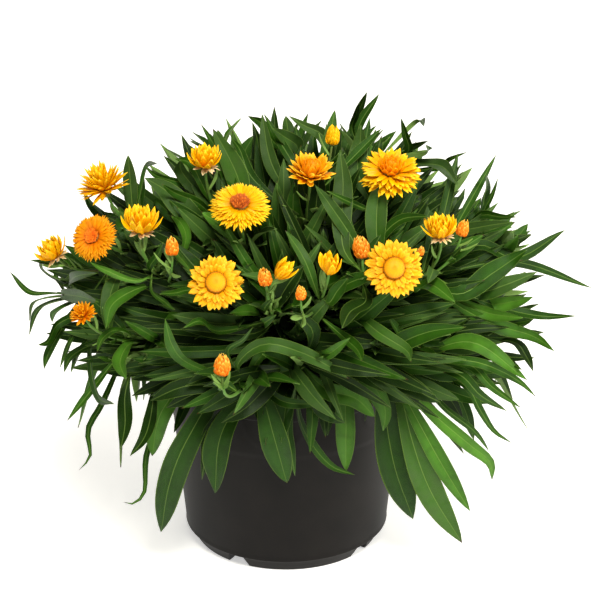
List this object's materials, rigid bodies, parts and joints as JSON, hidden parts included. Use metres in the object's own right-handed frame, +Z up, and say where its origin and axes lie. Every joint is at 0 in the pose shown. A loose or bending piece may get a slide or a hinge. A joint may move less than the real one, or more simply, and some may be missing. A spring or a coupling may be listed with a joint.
{
  "type": "potted strawflower",
  "caption": "Bushy domed strawflower plant with papery yellow and orange heads and long green leaves, growing in a round black nursery pot.",
  "frame": {"origin": "under the middle of the object's bounding box, on the surface that the pot stands on", "axes": "+Z up; +X to the right and +Y away from the viewer of the picture, so the longest side is along X"},
  "size_m": [0.462, 0.3962, 0.3783],
  "materials": {
    "pot_plastic": "matte black moulded polypropylene",
    "potting_mix": "moist peat and fine bark",
    "leaf": "dark green leaf blade with a pale midrib and a slight waxy sheen",
    "golden_bracts": "papery golden yellow bracts round an orange disc",
    "pale_bracts": "papery pale yellow bracts round a golden dome",
    "orange_bracts": "papery orange bracts, tightly overlapped on a bud"
  },
  "bodies": {
    "root": {"pot": "pot_plastic", "soil": "potting_mix", "head_01": "golden_bracts", "head_02": "orange_bracts", "head_03": "golden_bracts", "head_04": "golden_bracts", "head_05": "golden_bracts", "head_06": "golden_bracts", "head_07": "pale_bracts", "head_08": "orange_bracts", "head_09": "orange_bracts", "head_10": "golden_bracts", "head_11": "pale_bracts", "head_12": "golden_bracts", "head_13": "golden_bracts", "head_14": "golden_bracts", "head_15": "orange_bracts", "head_16": "orange_bracts", "head_17": "pale_bracts", "head_18": "golden_bracts", "head_19": "orange_bracts", "head_20": "orange_bracts", "head_21": "orange_bracts", "head_22": "orange_bracts", "head_23": "golden_bracts", "head_24": "golden_bracts", "head_25": "pale_bracts", "head_26": "orange_bracts", "shoot_01": "leaf", "shoot_02": "leaf", "shoot_03": "leaf", "shoot_04": "leaf", "shoot_05": "leaf", "shoot_06": "leaf", "shoot_07": "leaf", "shoot_08": "leaf", "shoot_09": "leaf", "shoot_10": "leaf", "shoot_11": "leaf", "shoot_12": "leaf", "shoot_13": "leaf", "shoot_14": "leaf", "shoot_15": "leaf", "shoot_16": "leaf", "shoot_17": "leaf", "shoot_18": "leaf", "shoot_19": "leaf", "shoot_20": "leaf", "shoot_21": "leaf", "shoot_22": "leaf", "shoot_23": "leaf", "shoot_24": "leaf", "shoot_25": "leaf", "shoot_26": "leaf", "shoot_27": "leaf", "shoot_28": "leaf", "shoot_29": "leaf", "shoot_30": "leaf", "shoot_31": "leaf", "shoot_32": "leaf"}
  },
  "joints": []
}
